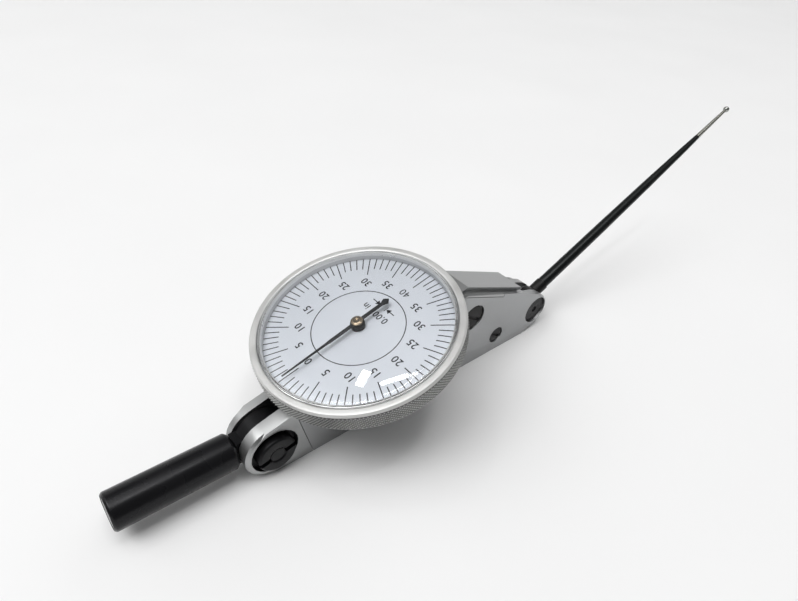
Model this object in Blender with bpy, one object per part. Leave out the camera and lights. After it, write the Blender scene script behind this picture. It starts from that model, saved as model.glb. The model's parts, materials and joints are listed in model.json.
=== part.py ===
"""Lever type dial test indicator, built in millimetres and scaled to metres.

Frame: +X runs from the mounting stem to the stylus, +Z is up, Y is across the narrow body.
The origin lies on the flat foot of the body.
The dial axis leans back by DIAL_TILT; h is the height along it, measured from the dial face.
"""

import math

import bmesh
import bpy
from mathutils import Matrix

MM = 0.001

# Main axes
AXIS_Z = 5.35
FORK_X = -29.95
PIVOT_X = 37.1
DIAL_X = -10.6
DIAL_Z = 20.5
DIAL_TILT = math.radians(15.0)

# Narrow body
HALF_WIDTH = 3.8
EAR_RADIUS = 5.35
EDGE_CHAMFER = 0.45
PLATFORM_H = -5.1
CREASE = (12.8, 21.4)
SNOUT_END = (30.4, 14.25)
SNOUT_SLOPE = math.atan2(SNOUT_END[1] - CREASE[1], SNOUT_END[0] - CREASE[0])
DOVETAIL_HALF = 3.33
DOVETAIL_ROOT_HALF = 2.2
DOVETAIL_HEIGHT = 1.25
COVER_DROP = 2.1
COVER_GAP = 0.12
COVER_THICKNESS = 1.27
COVER_REAR = -16.84
COVER_TOP_H = -4.8
COVER_SNOUT_REACH = 13.0
CAVITY_HALF = 2.4
NOSE_SLOT_HALF = 1.65

# Fork, stem and clamp
FORK_MIDDLE = 0.5
FORK_SLOT_HALF = 1.6
FORK_SLOT_DEPTH = 7.0
TONGUE_HALF = 1.45
CLAMP_RECESS_RADIUS = 4.4
CLAMP_RECESS_FLOOR = 2.6
BOLT_RADIUS = 1.35
NUT_RADIUS = 3.5
NUT_FACE = 4.85
STEM_RADIUS = 3.2
STEM_START = 5.65
STEM_LENGTH = 20.05
STEM_LIFT = math.radians(1.1)

# Dial head
DRUM_RADIUS = 16.9
BEZEL_RADIUS = 19.0
BEZEL_BOTTOM_H = -2.37
BEZEL_TOP_H = 1.75
CRYSTAL_RADIUS = 17.3
CRYSTAL_SEAT_H = 0.9
CRYSTAL_RIM_H = 2.05
CRYSTAL_RISE = 1.7
CRYSTAL_SKIRT = 0.35
DIAL_WINDOW = 16.45
POINTER_H = 1.05
POINTER_THICKNESS = 0.22
POINTER_ANGLE = math.radians(0.95)
POINTER_REACH = 15.65

# Gear train: 360 tooth lever sector, 12 leaf pinion, 48 tooth crown wheel, 6 leaf pinion
WHEEL_H = -12.5
LEVER_TEETH = 360
LEVER_PINION_LEAVES = 12
CROWN_TEETH = 48
CENTRE_LEAVES = 6
CROWN_RADIUS = 5.6
SECTOR_TEETH = 8
RIVETS = (("front", 37.6), ("rear", 39.9))
RIVET_RADIUS = 0.5
CENTRE_PINION_RADIUS = CROWN_RADIUS * CENTRE_LEAVES / CROWN_TEETH

# Stylus
STYLUS_ANGLE = math.radians(24.7)
STYLUS_LENGTH = 78.6
STYLUS_SHOULDER = 66.0
BALL_RADIUS = 0.75

BLACK = ((0.02, 0.02, 0.022), 0.6, 0.45)
SATIN = ((0.62, 0.63, 0.64), 1.0, 0.38)
BRIGHT = ((0.78, 0.79, 0.80), 1.0, 0.2)
STEEL = ((0.55, 0.56, 0.58), 1.0, 0.3)
BRASS = ((0.76, 0.60, 0.30), 1.0, 0.3)
RUBY = ((0.60, 0.03, 0.10), 0.0, 0.15)
WHITE = ((0.86, 0.88, 0.92), 0.0, 0.5)
BLUED = ((0.05, 0.07, 0.20), 1.0, 0.3)
GLASS = ((0.95, 0.97, 1.0), 0.0, 0.03)


# ---------------------------------------------------------------- helpers


def clear_scene():
    for old in list(bpy.data.objects):
        bpy.data.objects.remove(old, do_unlink=True)


def material_of(name, look):
    colour, metallic, roughness = look
    material = bpy.data.materials.new(name + "_material")
    material.use_nodes = True
    shader = material.node_tree.nodes["Principled BSDF"]
    shader.inputs["Base Color"].default_value = (*colour, 1.0)
    shader.inputs["Metallic"].default_value = metallic
    shader.inputs["Roughness"].default_value = roughness
    if look is GLASS:
        shader.inputs["Transmission Weight"].default_value = 1.0
    return material


def object_from(name, mesh_builder, look=None):
    """Finishes a bmesh as an object with outward faces, in metres."""
    bmesh.ops.remove_doubles(mesh_builder, verts=mesh_builder.verts, dist=1e-5)
    bmesh.ops.recalc_face_normals(mesh_builder, faces=mesh_builder.faces)
    bmesh.ops.scale(mesh_builder, vec=(MM, MM, MM), verts=mesh_builder.verts)
    mesh = bpy.data.meshes.new(name)
    mesh_builder.to_mesh(mesh)
    mesh_builder.free()
    thing = bpy.data.objects.new(name, mesh)
    bpy.context.scene.collection.objects.link(thing)
    if look is not None:
        mesh.materials.append(material_of(name, look))
    return thing


def smooth(thing, angle=35.0):
    """Shades round walls smooth and keeps real corners sharp."""
    for face in thing.data.polygons:
        face.use_smooth = True
    thing.data.set_sharp_from_angle(angle=math.radians(angle))
    return thing


def lathe(name, profile, look=None, segments=24):
    """Turns a closed profile of (radius, height) points about local Z."""
    build = bmesh.new()
    rings = []
    for radius, height in profile:
        if radius < 1e-6:
            rings.append([build.verts.new((0, 0, height))])
            continue
        spots = [polar(radius, 2 * math.pi * i / segments) for i in range(segments)]
        rings.append([build.verts.new((x, y, height)) for x, y in spots])
    open_ended = len(rings[0]) == 1 and len(rings[-1]) == 1
    pairs = list(zip(rings, rings[1:]))
    if not open_ended:
        pairs.append((rings[-1], rings[0]))
    for lower, upper in pairs:
        for i in range(segments):
            j = (i + 1) % segments
            low, low_next = lower[i % len(lower)], lower[j % len(lower)]
            high, high_next = upper[i % len(upper)], upper[j % len(upper)]
            unique = list(dict.fromkeys([low, low_next, high_next, high]))
            if len(unique) > 2:
                build.faces.new(unique)
    return smooth(object_from(name, build, look))


def prism(name, outline, y_low, y_high, look=None, chamfer=0.0):
    """Extrudes a closed outline of (x, z) points across Y, with optional edge chamfers."""
    build = bmesh.new()
    near = [build.verts.new((x, y_low, z)) for x, z in outline]
    far = [build.verts.new((x, y_high, z)) for x, z in outline]
    count = len(outline)
    caps = [build.faces.new(near), build.faces.new(far)]
    for i in range(count):
        j = (i + 1) % count
        build.faces.new((near[i], near[j], far[j], far[i]))
    if chamfer:
        edges = [edge for cap in caps for edge in cap.edges]
        bmesh.ops.bevel(build, geom=edges, offset=chamfer, segments=1, affect="EDGES", clamp_overlap=True)
    return smooth(object_from(name, build, look))


def plate(name, outline, z_low, z_high, look=None):
    """Extrudes a closed outline of (x, y) points along local Z."""
    build = bmesh.new()
    low = [build.verts.new((x, y, z_low)) for x, y in outline]
    high = [build.verts.new((x, y, z_high)) for x, y in outline]
    count = len(outline)
    build.faces.new(low)
    build.faces.new(high)
    for i in range(count):
        j = (i + 1) % count
        build.faces.new((low[i], low[j], high[j], high[i]))
    return smooth(object_from(name, build, look))


def polar(radius, angle):
    return (radius * math.cos(angle), radius * math.sin(angle))


def arc(centre, radius, start, end, steps):
    points = []
    for i in range(steps + 1):
        angle = math.radians(start + (end - start) * i / steps)
        x, z = polar(radius, angle)
        points.append((centre[0] + x, centre[1] + z))
    return points


def boolean(thing, other, operation):
    step = thing.modifiers.new(f"{operation.lower()}_{other.name}", "BOOLEAN")
    step.operation = operation
    step.solver = "EXACT"
    step.object = other
    other.hide_render = True
    other.display_type = "WIRE"
    return thing


def cut(thing, cutter):
    return boolean(thing, cutter, "DIFFERENCE")


def join(thing, other):
    return boolean(thing, other, "UNION")


def across(thing, x, z):
    """Stands a lathed or plated piece with its local Z along +Y, at (x, z) in the body plane."""
    thing.rotation_euler = (-math.pi / 2, 0, 0)
    thing.location = (x * MM, 0, z * MM)
    return thing


def on_dial(thing, spin=0.0):
    """Puts a piece into the dial frame: origin at the dial face centre, local Z along the dial axis."""
    thing.rotation_mode = "QUATERNION"
    turn = Matrix.Rotation(-DIAL_TILT, 4, "Y") @ Matrix.Rotation(spin, 4, "Z")
    thing.rotation_quaternion = turn.to_quaternion()
    thing.location = (DIAL_X * MM, 0, DIAL_Z * MM)
    return thing


def dial_point(along, height):
    """Body plane (x, z) of a point given along the dial's own X and its axis."""
    x = DIAL_X + along * math.cos(DIAL_TILT) - height * math.sin(DIAL_TILT)
    z = DIAL_Z + along * math.sin(DIAL_TILT) + height * math.cos(DIAL_TILT)
    return (x, z)


WHEEL = dial_point(0.0, WHEEL_H)


def snout_point(along, depth):
    """Body plane (x, z) of a point along the sloping snout top, measured from the crease."""
    x = CREASE[0] + along * math.cos(SNOUT_SLOPE) + depth * math.sin(SNOUT_SLOPE)
    z = CREASE[1] + along * math.sin(SNOUT_SLOPE) - depth * math.cos(SNOUT_SLOPE)
    return (x, z)


def crease_below(depth):
    """Where the platform and the snout top meet once both are lowered by depth."""
    half_turn = (DIAL_TILT - SNOUT_SLOPE) / 2
    lean = (DIAL_TILT + SNOUT_SLOPE) / 2
    reach = depth / math.cos(half_turn)
    return (CREASE[0] + reach * math.sin(lean), CREASE[1] - reach * math.cos(lean))


# ---------------------------------------------------------------- narrow body

NOSE = [
    (33.6, 10.95),
    (35.8, 10.35),
    (37.8, 9.5),
    (39.5, 8.2),
    (40.6, 6.7),
    (40.95, 5.2),
    (40.6, 3.7),
    (39.6, 2.3),
    (38.0, 1.2),
    (35.9, 0.45),
    (33.4, 0.1),
    (31.0, 0.0),
]


def body_blank(name, look=None):
    """The whole narrow body as one chamfered slab, before the fork, cavity and cover are cut."""
    lip = DOVETAIL_HEIGHT
    ear_h = EAR_RADIUS + (FORK_X - DIAL_X) * -math.sin(DIAL_TILT) + (AXIS_Z - DIAL_Z) * math.cos(DIAL_TILT)
    points = arc((FORK_X, AXIS_Z), EAR_RADIUS, 270, 105, 12)
    points += [dial_point(12.0, ear_h), dial_point(12.0, PLATFORM_H - lip)]
    points += [crease_below(lip), snout_point(18.3, lip)]
    return prism(name, points + NOSE, -HALF_WIDTH, HALF_WIDTH, look, EDGE_CHAMFER)


def cover_region(name, gap, y_inner):
    """Space taken by the near side plate: upright joint behind, thin joint on top, nose ear in front."""
    drop = COVER_DROP - gap
    rear = COVER_REAR - gap
    top_h = COVER_TOP_H + gap
    front = COVER_SNOUT_REACH - gap
    outline = [dial_point(rear, -22.0), dial_point(rear, top_h), dial_point(12.0, top_h)]
    outline += [dial_point(12.0, PLATFORM_H - drop), crease_below(drop), snout_point(front, drop)]
    outline += [snout_point(front, 0.8), (33.0, 13.5), (45.0, 13.5), (45.0, -6.0)]
    region = prism(name, outline, -6.0, y_inner)
    ear = [(32.9 - gap, -5.0), (44.0, -5.0), (44.0, 12.5), (32.9 - gap, 12.5)]
    return join(region, prism(name + "_ear", ear, -5.5, -NOSE_SLOT_HALF))


def dovetail():
    """Undercut rail on top of the snout."""
    build = bmesh.new()
    low = DOVETAIL_HEIGHT + 0.35
    end = 19.1
    tops = [dial_point(13.0, PLATFORM_H), CREASE, snout_point(end - 0.5, 0.0), snout_point(end, 0.45)]
    bottoms = [dial_point(13.0, PLATFORM_H - low), crease_below(low)]
    bottoms += [snout_point(end - 0.5, low), snout_point(end, low)]
    stations = []
    for (top_x, top_z), (low_x, low_z) in zip(tops, bottoms):
        ring = [
            build.verts.new((top_x, -DOVETAIL_HALF, top_z)),
            build.verts.new((top_x, DOVETAIL_HALF, top_z)),
            build.verts.new((low_x, DOVETAIL_ROOT_HALF, low_z)),
            build.verts.new((low_x, -DOVETAIL_ROOT_HALF, low_z)),
        ]
        stations.append(ring)
    for first, second in zip(stations, stations[1:]):
        for i in range(4):
            j = (i + 1) % 4
            build.faces.new((first[i], first[j], second[j], second[i]))
    build.faces.new(stations[0])
    build.faces.new(stations[-1])
    return object_from("dovetail_rail_tool", build)


def cavity_outline():
    points = [(-17.0, 1.6), (33.6, 1.6), (33.6, 8.6)]
    points += [snout_point(17.6, 3.1), crease_below(3.0), dial_point(9.5, -7.8)]
    points += [dial_point(9.5, -3.0), dial_point(-9.5, -3.0)]
    return points


def side_hole(name, x, z, radius, y_low, y_high, segments=12):
    return across(lathe(name, rod(radius, y_low, y_high), segments=segments), x, z)


def rod(radius, low, high):
    return [(0, low), (radius, low), (radius, high), (0, high)]


def stepped_hole(name, x, z, small, large, y_end, y_step, y_open, segments=20):
    """Counterbored hole along Y: the large radius from y_open in to y_step, the small one on to y_end."""
    profile = [(0, y_end), (small, y_end), (small, y_step), (large, y_step), (large, y_open), (0, y_open)]
    return across(lathe(name, profile, segments=segments), x, z)


SCREW_UPPER = (15.45, 12.95)
SCREW_LOWER = (24.2, 4.2)
DOWEL_REAR = (-20.6, 8.5)
STOP_LOW = (4.0, 5.12)
STOP_HIGH = (4.0, 11.0)
BRIDGE_SCREW_Y = 8.0
LOWER_BRIDGE_SCREW = (-3.1, -7.8)


def body_frame():
    body = body_blank("body_frame", SATIN)
    cut(body, cover_region("cover_seat_tool", COVER_GAP, -HALF_WIDTH + COVER_THICKNESS))
    cut(body, prism("cavity_tool", cavity_outline(), -4.5, CAVITY_HALF))
    slot_end = FORK_X + FORK_SLOT_DEPTH
    slot = [(-42.0, -3.0), (slot_end, -3.0), (slot_end, 25.0), (-42.0, 25.0)]
    slot_sides = (FORK_MIDDLE - FORK_SLOT_HALF, FORK_MIDDLE + FORK_SLOT_HALF)
    cut(body, prism("fork_slot_tool", slot, *slot_sides))
    nose = [(32.9, -3.0), (45.0, -3.0), (45.0, 16.0), (32.9, 16.0)]
    cut(body, prism("nose_slot_tool", nose, -6.0, NOSE_SLOT_HALF))
    join(body, dovetail())
    drum = [(0, -4.6), (DRUM_RADIUS, -4.6), (DRUM_RADIUS, -2.05), (16.2, -2.05), (16.2, -1.5)]
    drum += [(DRUM_RADIUS, -1.5), (DRUM_RADIUS, -0.95), (11.0, -0.95), (11.0, -3.4), (0, -3.4)]
    join(body, on_dial(lathe("drum_tool", drum, segments=40)))
    well = [(-9.3, -2.2), (9.3, -2.2), (9.3, 2.2), (-9.3, 2.2)]
    cut(body, on_dial(plate("well_tool", well, -6.0, -2.5)))
    bolt_hole = BOLT_RADIUS + 0.1
    for side in (-1, 1):
        name = f"clamp_recess_tool_{side}"
        depths = (side * 0.5, side * CLAMP_RECESS_FLOOR, side * 5.0)
        cut(body, stepped_hole(name, FORK_X, AXIS_Z, bolt_hole, CLAMP_RECESS_RADIUS, *depths, 24))
    cut(body, stepped_hole("far_pivot_tool", PIVOT_X, AXIS_Z, 2.0, 3.3, 1.0, 2.1, 5.0, 24))
    cut(body, side_hole("far_jewel_tool", *WHEEL, 1.05, 2.0, 3.05))
    cut(body, side_hole("upper_thread_tool", *SCREW_UPPER, 1.25, 2.0, 3.1))
    cut(body, side_hole("lower_thread_tool", *SCREW_LOWER, 0.95, 2.0, 3.1))
    cut(body, side_hole("stop_low_tool", *STOP_LOW, 0.63, 2.0, 3.2))
    cut(body, side_hole("stop_high_tool", *STOP_HIGH, 0.63, 2.0, 3.2))
    cut(body, side_hole("dowel_rear_tool", *DOWEL_REAR, 0.83, -3.5, -1.0))
    cut(body, side_hole("foot_screw_tool", *dial_point(*LOWER_BRIDGE_SCREW), 0.55, 2.0, 3.2))
    for side in (-1, 1):
        hole = lathe(f"bridge_thread_tool_{side}", rod(0.65, -3.95, -3.0), segments=12)
        hole.data.transform(Matrix.Translation((0, side * BRIDGE_SCREW_Y * MM, 0)))
        cut(body, on_dial(hole))
    return body


def side_cover():
    cover = body_blank("side_cover", SATIN)
    boolean(cover, cover_region("cover_shape_tool", 0.0, -HALF_WIDTH + COVER_THICKNESS - 0.05), "INTERSECT")
    cut(cover, stepped_hole("near_pivot_tool", PIVOT_X, AXIS_Z, 2.0, 3.3, -1.0, -2.1, -5.0, 24))
    cut(cover, stepped_hole("upper_screw_tool", *SCREW_UPPER, 1.3, 3.0, -2.0, -3.1, -5.0, 24))
    cut(cover, stepped_hole("lower_screw_tool", *SCREW_LOWER, 1.0, 1.95, -2.0, -3.15, -5.0, 20))
    cut(cover, side_hole("near_jewel_tool", *WHEEL, 1.05, -3.1, -2.0))
    cut(cover, side_hole("dowel_cover_rear_tool", *DOWEL_REAR, 0.83, -3.25, -2.0))
    return cover


# ---------------------------------------------------------------- screws, pins, jewels


def slotted_screw(name, x, z, head_radius, head_low, head_high, shank_radius, shank_end, slot_width):
    """Screw lying along Y: head between head_low and head_high, shank to shank_end."""
    profile = [
        (0, head_low),
        (head_radius - 0.15, head_low),
        (head_radius, head_low + 0.15),
        (head_radius, head_high),
        (shank_radius, head_high),
        (shank_radius, shank_end),
        (0, shank_end),
    ]
    screw = across(lathe(name, profile, BLACK, 18), x, z)
    saw = box_outline(head_radius + 1, slot_width / 2)
    slot = plate(name + "_slot_tool", saw, head_low - 1, head_low + 0.35)
    slot.rotation_euler = (-math.pi / 2, math.radians(35), 0)
    slot.location = screw.location
    return cut(screw, slot)


def box_outline(half_x, half_y, x=0.0, y=0.0):
    corners = ((-1, -1), (1, -1), (1, 1), (-1, 1))
    return [(x + side_x * half_x, y + side_y * half_y) for side_x, side_y in corners]


def cover_screws():
    slotted_screw("cover_screw_upper", *SCREW_UPPER, 2.75, -3.6, -3.14, 1.2, 2.9, 0.7)
    slotted_screw("cover_screw_lower", *SCREW_LOWER, 1.8, -3.65, -3.19, 0.9, 2.9, 0.55)


def pivot_screw(name, side):
    profile = [
        (0, 3.15),
        (0.7, 3.15),
        (0.7, 3.4),
        (2.85, 3.4),
        (3.15, 3.2),
        (3.15, 2.15),
        (1.9, 2.15),
        (1.9, 1.75),
        (0.6, 1.75),
        (0.6, 2.6),
        (0, 2.6),
    ]
    if side < 0:
        profile = [(radius, -y) for radius, y in reversed(profile)]
    return across(lathe(name, profile, BLACK, 20), PIVOT_X, AXIS_Z)


def pin(name, x, z, radius, y_low, y_high, look=STEEL):
    chamfer = radius * 0.2
    profile = [
        (0, y_low),
        (radius - chamfer, y_low),
        (radius, y_low + chamfer),
        (radius, y_high - chamfer),
        (radius - chamfer, y_high),
        (0, y_high),
    ]
    return across(lathe(name, profile, look, 12), x, z)


def jewel(name, low, high, bore, radius=1.0):
    profile = [(bore, low), (radius, low), (radius, high), (bore, high)]
    return lathe(name, profile, RUBY, 16)


def pins_and_jewels():
    pin("stop_pin_low", *STOP_LOW, 0.6, 0.2, 3.15)
    pin("stop_pin_high", *STOP_HIGH, 0.6, 0.2, 3.15)
    pin("dowel_rear", *DOWEL_REAR, 0.8, -3.2, -1.1)
    across(jewel("jewel_far", 2.45, 3.0, 0.34), *WHEEL)
    across(jewel("jewel_near", -3.05, -2.6, 0.34), *WHEEL)


# ---------------------------------------------------------------- fork: stem and clamp


def stem_frame(thing):
    """Puts a piece built about local Z onto the stem axis, origin on the fork axis."""
    thing.rotation_mode = "QUATERNION"
    turn = Matrix.Rotation(STEM_LIFT - math.pi / 2, 4, "Y")
    thing.rotation_quaternion = turn.to_quaternion()
    thing.location = (FORK_X * MM, FORK_MIDDLE * MM, AXIS_Z * MM)
    return thing


def stem_rod():
    end = STEM_START + STEM_LENGTH
    profile = [
        (1.55, STEM_START + 3.6),
        (1.55, STEM_START),
        (STEM_RADIUS - 0.5, STEM_START),
        (STEM_RADIUS, STEM_START + 0.5),
        (STEM_RADIUS, end - 0.4),
        (STEM_RADIUS - 0.12, end - 0.12),
        (STEM_RADIUS - 0.4, end),
        (0, end),
    ]
    ring = [(0, STEM_START + 3.6)] + profile
    return stem_frame(lathe("stem_rod", ring, BLACK, 24))


def stem_tongue():
    """Round ended blade in the fork, with the stub that screws into the stem."""
    # In the stem's own frame local Z runs out along the stem and local X points to the side of the body.
    outline = arc((0, 0), 4.9, 60, -240, 22) + [(-2.45, STEM_START - 0.15), (2.45, STEM_START - 0.15)]
    blade = prism("stem_tongue", outline, -TONGUE_HALF, TONGUE_HALF, BLACK)
    join(stem_frame(blade), stem_frame(lathe("stub_tool", rod(1.45, 5.0, STEM_START + 3.4), segments=20)))
    bore = lathe("tongue_bore_tool", rod(BOLT_RADIUS + 0.1, -3.0, 3.0), segments=24)
    return cut(blade, across(bore, FORK_X, AXIS_Z))


def clamp_bolt():
    profile = [
        (0, 0.05 - NUT_FACE),
        (BOLT_RADIUS - 0.2, 0.05 - NUT_FACE),
        (BOLT_RADIUS, 0.25 - NUT_FACE),
        (BOLT_RADIUS, 2.65),
        (3.85, 2.65),
        (3.85, 3.35),
        (3.6, 3.6),
        (0, 3.6),
    ]
    return across(lathe("clamp_bolt", profile, BLACK, 24), FORK_X, AXIS_Z)


def clamp_nut():
    bore = BOLT_RADIUS + 0.08
    profile = [
        (bore, -2.65),
        (NUT_RADIUS, -2.65),
        (NUT_RADIUS, 0.2 - NUT_FACE),
        (NUT_RADIUS - 0.2, -NUT_FACE),
        (bore, -NUT_FACE),
    ]
    nut = across(lathe("clamp_nut", list(reversed(profile)), BLACK, 24), FORK_X, AXIS_Z)
    slot = plate("nut_slot_tool", box_outline(5.0, 0.5), -6.0, 0.6 - NUT_FACE)
    slot.rotation_euler = (-math.pi / 2, math.radians(-13), 0)
    slot.location = nut.location
    return cut(nut, slot)


# ---------------------------------------------------------------- dial head


def bezel_ring():
    """Knurl band, rounded top ring, crystal seat, cone down to the dial, dial and snap ring seats."""
    seat = CRYSTAL_RADIUS + 0.1
    profile = [
        (17.25, BEZEL_BOTTOM_H),
        (18.8, BEZEL_BOTTOM_H),
        (BEZEL_RADIUS, BEZEL_BOTTOM_H + 0.2),
        (BEZEL_RADIUS, 1.05),
        (18.75, 1.3),
        (18.45, BEZEL_TOP_H),
        (17.7, BEZEL_TOP_H),
        (seat, 1.5),
        (seat, CRYSTAL_SEAT_H),
        (DIAL_WINDOW + 0.15, CRYSTAL_SEAT_H),
        (DIAL_WINDOW, 0.05),
        (17.0, 0.05),
        (17.0, -0.55),
        (17.25, -0.55),
        (17.25, -1.5),
        (17.75, -1.5),
        (17.75, -2.05),
        (17.25, -2.05),
    ]
    return on_dial(lathe("bezel_ring", profile, SATIN, 44))


def crystal_ring():
    """Bright ring inside the skirt of the crystal that keeps it tight in the bezel."""
    outer = CRYSTAL_RADIUS - CRYSTAL_SKIRT - 0.07
    bottom = CRYSTAL_SEAT_H + 0.05
    profile = [(DIAL_WINDOW + 0.15, bottom), (outer, bottom), (outer, 1.55), (outer - 0.13, 1.55)]
    return on_dial(lathe("crystal_ring", profile, BRIGHT, 40))


def dome(radius, rim_height, rise, steps):
    """Points from the rim to the crown of a shallow dome."""
    sphere = (radius * radius + rise * rise) / (2 * rise)
    points = []
    for i in range(steps + 1):
        r = radius * (1 - i / steps)
        height = rim_height + math.sqrt(sphere * sphere - r * r) - (sphere - rise)
        points.append((r, height))
    return points


def crystal():
    """Domed disc with a rounded shoulder and a short skirt that drops into the bezel."""
    bottom = CRYSTAL_SEAT_H + 0.05
    bore = CRYSTAL_RADIUS - CRYSTAL_SKIRT
    outer = [(CRYSTAL_RADIUS, bottom), (CRYSTAL_RADIUS, CRYSTAL_RIM_H - 0.35)]
    outer += dome(bore, CRYSTAL_RIM_H, CRYSTAL_RISE, 4)
    inner = list(reversed(dome(bore, CRYSTAL_RIM_H - 0.35, CRYSTAL_RISE - 0.25, 4)))
    inner.append((bore, bottom))
    return on_dial(lathe("crystal", outer + inner, GLASS, 40))


def dial_plate():
    profile = [(1.2, -0.5), (16.9, -0.5), (16.9, 0.0), (1.2, 0.0)]
    return on_dial(lathe("dial_plate", profile, WHITE, 40))


def dial_retainer():
    profile = [(14.8, -0.82), (17.15, -0.82), (17.15, -0.58), (14.8, -0.58)]
    return on_dial(lathe("dial_retainer", profile, STEEL, 36))


def bezel_snap_ring():
    profile = [(16.35, -1.95), (17.6, -1.95), (17.6, -1.6), (16.35, -1.6)]
    ring = on_dial(lathe("bezel_snap_ring", profile, STEEL, 36))
    gap = plate("snap_gap_tool", box_outline(2.0, 1.2, 17.0), -3.0, 0.0)
    return cut(ring, on_dial(gap, math.radians(205)))


def pointer():
    """Needle, hub eye, tail bar and square counterweight."""
    half = 0.62
    outline = [
        (-POINTER_REACH, -0.06),
        (-6.2, -0.2),
        (-5.9, -0.36),
        (5.6, -0.36),
        (6.35, -half - 0.12),
        (7.2, 0.0),
        (6.35, half + 0.12),
        (5.6, 0.36),
        (-5.9, 0.36),
        (-6.2, 0.2),
        (-POINTER_REACH, 0.06),
    ]
    top = POINTER_H + POINTER_THICKNESS
    needle = on_dial(plate("pointer", outline, POINTER_H, top, BLACK), POINTER_ANGLE)
    eye = lathe("pointer_eye_tool", rod(0.95, POINTER_H, top), segments=16)
    join(needle, on_dial(eye, POINTER_ANGLE))
    return cut(needle, on_dial(lathe("pointer_bore_tool", rod(0.45, 0.0, 3.0), segments=14), POINTER_ANGLE))


def pointer_boss():
    top = POINTER_H - 0.05
    profile = [(0.45, 0.1), (1.3, 0.1), (1.3, top), (0.45, top)]
    return on_dial(lathe("pointer_boss", profile, BLACK, 20))


def boss_cap():
    bottom = POINTER_H + POINTER_THICKNESS + 0.05
    top = 1.72
    profile = [
        (0, bottom),
        (1.05, bottom),
        (1.1, top - 0.15),
        (0.95, top),
        (0.3, top),
        (0.22, top - 0.12),
        (0, top - 0.12),
    ]
    return on_dial(lathe("boss_cap", profile, BRASS, 20))


# ---------------------------------------------------------------- movement


def teeth(count, pitch_radius, addendum, dedendum, thickness, tip, first=0.0):
    """Closed outline of a spur gear with straight flanked teeth, the first centred on angle first."""
    points = []
    for i in range(count):
        middle = first + 2 * math.pi * i / count
        root_half = thickness / 2 * 1.25 / pitch_radius
        tip_half = tip / 2 / (pitch_radius + addendum)
        for radius, angle in (
            (pitch_radius - dedendum, middle - root_half),
            (pitch_radius + addendum, middle - tip_half),
            (pitch_radius + addendum, middle + tip_half),
            (pitch_radius - dedendum, middle + root_half),
        ):
            points.append((radius * math.cos(angle), radius * math.sin(angle)))
    return points


CENTRE_DISTANCE = math.dist(WHEEL, (PIVOT_X, AXIS_Z))
LEVER_PINION_RADIUS = CENTRE_DISTANCE / (1 + LEVER_TEETH / LEVER_PINION_LEAVES)
SECTOR_RADIUS = CENTRE_DISTANCE - LEVER_PINION_RADIUS
TO_WHEEL = math.atan2(WHEEL[1] - AXIS_Z, WHEEL[0] - PIVOT_X)
LEVER_PITCH = 2 * math.pi * SECTOR_RADIUS / LEVER_TEETH


def pivot_axle():
    profile = [(0, -2.5), (0.55, -2.5), (0.55, -1.6), (1.0, -1.6)]
    profile += [(radius, -y) for radius, y in reversed(profile)]
    return across(lathe("pivot_axle", profile, STEEL, 20), PIVOT_X, AXIS_Z)


def rivet_spot(along):
    """Body plane (x, z) of a lever rivet, given its distance from the stylus pivot."""
    return (PIVOT_X + along * math.cos(TO_WHEEL), AXIS_Z + along * math.sin(TO_WHEEL))


def lever_arm():
    """Far friction disc and the long arm that carries the gear sector."""
    outline = [(-1.6, 2.2), (-2.2, -1.4), (-9.0, 0.3), (-41.0, 2.0), (-41.0, 4.3), (-9.0, 2.5)]
    arm = prism("lever_arm", outline, 0.88, 1.42, STEEL)
    arm.location = (PIVOT_X * MM, 0, AXIS_Z * MM)
    disc = lathe("far_disc_tool", [(1.03, 0.82), (3.3, 0.82), (3.3, 1.48), (1.03, 1.48)], segments=22)
    join(arm, across(disc, PIVOT_X, AXIS_Z))
    for name, along in RIVETS:
        cut(arm, side_hole(f"arm_rivet_{name}_tool", *rivet_spot(along), RIVET_RADIUS + 0.03, 0.0, 2.0))
    return arm


def friction_disc():
    profile = [(1.03, -1.45), (3.3, -1.45), (3.3, -0.85), (1.03, -0.85)]
    return across(lathe("friction_disc", profile, BLACK, 24), PIVOT_X, AXIS_Z)


def sector_gear():
    """Toothed end of the lever on a circle about the stylus pivot, with a tooth space in the middle."""
    pitch = 2 * math.pi / LEVER_TEETH
    inner = SECTOR_RADIUS - 7.0
    root = SECTOR_RADIUS - 0.32
    tip = SECTOR_RADIUS + 0.2
    spread = (SECTOR_TEETH / 2 + 0.2) * pitch
    root_half = 0.19 / SECTOR_RADIUS
    tip_half = 0.09 / SECTOR_RADIUS
    points = [polar(inner, TO_WHEEL - spread * 0.8), polar(root, TO_WHEEL - spread)]
    for i in range(SECTOR_TEETH):
        middle = TO_WHEEL + (i - (SECTOR_TEETH - 1) / 2) * pitch
        points += [polar(root, middle - root_half), polar(tip, middle - tip_half)]
        points += [polar(tip, middle + tip_half), polar(root, middle + root_half)]
    points += [polar(root, TO_WHEEL + spread), polar(inner, TO_WHEEL + spread * 0.8)]
    gear = prism("sector_gear", points, 0.2, 0.82, BRASS)
    gear.location = (PIVOT_X * MM, 0, AXIS_Z * MM)
    for name, along in RIVETS:
        cut(gear, side_hole(f"sector_rivet_{name}_tool", *rivet_spot(along), RIVET_RADIUS + 0.03, 0.0, 2.0))
    return gear


def lever_rivets():
    """Two headed rivets that clamp the sector to the arm."""
    head = 0.8
    profile = [(0, 0.0), (head, 0.0), (head, 0.15), (RIVET_RADIUS, 0.18)]
    profile += [(RIVET_RADIUS, 1.48), (head, 1.5), (head, 1.7), (0, 1.7)]
    for name, along in RIVETS:
        across(lathe(f"lever_rivet_{name}", profile, STEEL, 12), *rivet_spot(along))


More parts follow.
